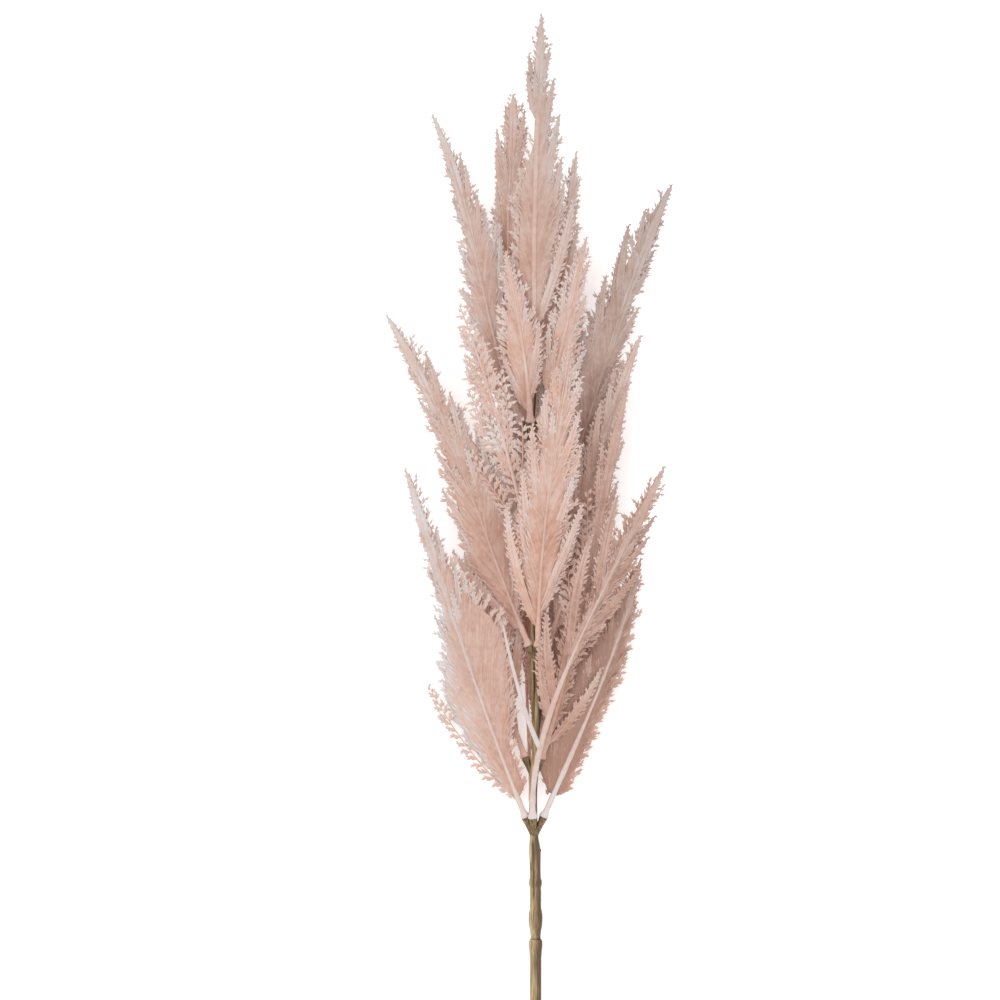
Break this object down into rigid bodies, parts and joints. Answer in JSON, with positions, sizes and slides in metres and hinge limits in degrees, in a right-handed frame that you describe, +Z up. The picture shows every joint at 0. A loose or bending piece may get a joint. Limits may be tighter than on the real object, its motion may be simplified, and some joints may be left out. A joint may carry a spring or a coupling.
{
  "type": "artificial pampas grass stem",
  "caption": "Stem of pink pampas grass of the moulded decorative kind, lying down: feathery sprays plugged into whorls of sockets on a brown stem with a wire core.",
  "frame": {"origin": "centre of the object's box seen from above, on the surface that it lies on", "axes": "+Y from the cut end of the stem to the plume's tip, +Z up from the surface"},
  "size_m": [0.1732, 0.76, 0.0702],
  "materials": {
    "stem": "moulded brown plastic with lengthwise ridges, satin",
    "wire": "plain drawn steel wire",
    "plume": "soft moulded plastic, dusty pink, paler and frosted at the tips, faintly translucent"
  },
  "bodies": {
    "root": {"stem_lower": "stem", "stem_upper": "stem", "stem_wire": "wire", "spray_1_left": "plume", "spray_1_front": "plume", "spray_1_right": "plume", "spray_1_back": "plume", "spray_2_left": "plume", "spray_2_right": "plume", "spray_2_back": "plume", "spray_3_left": "plume", "spray_3_front": "plume", "spray_3_right": "plume", "spray_4_left": "plume", "spray_4_right": "plume", "spray_4_back": "plume", "spray_5_left": "plume", "spray_5_front": "plume", "spray_5_right": "plume", "spray_6_top": "plume", "spray_6_left": "plume", "spray_6_right": "plume"}
  },
  "joints": []
}
